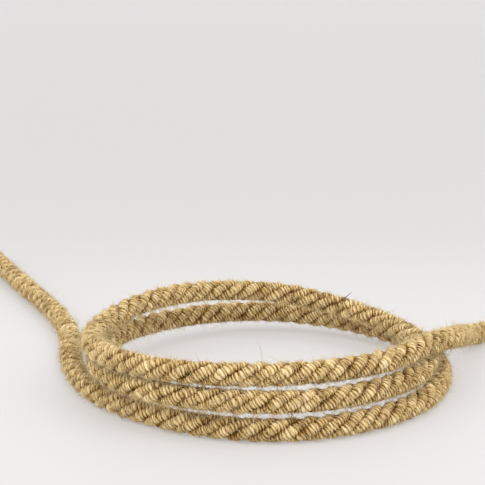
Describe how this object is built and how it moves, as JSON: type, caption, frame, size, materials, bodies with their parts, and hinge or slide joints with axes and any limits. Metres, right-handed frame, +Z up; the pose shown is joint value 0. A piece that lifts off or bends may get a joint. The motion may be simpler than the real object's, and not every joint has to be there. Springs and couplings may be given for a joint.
{
  "type": "jute cord",
  "caption": "Thick laid jute cord lying in a loose open coil, with a long and a short loose end running off along the surface.",
  "frame": {"origin": "on the surface that the cord lies on, under the middle of its box", "axes": "+Z up, -Y towards the side that the picture shows, +X to the right there; the long loose end runs back to the left"},
  "size_m": [0.2302, 0.2556, 0.0261],
  "materials": {
    "jute": "dry, fibrous, unpolished natural jute"
  },
  "bodies": {
    "root": {"cord": "jute"}
  },
  "joints": []
}
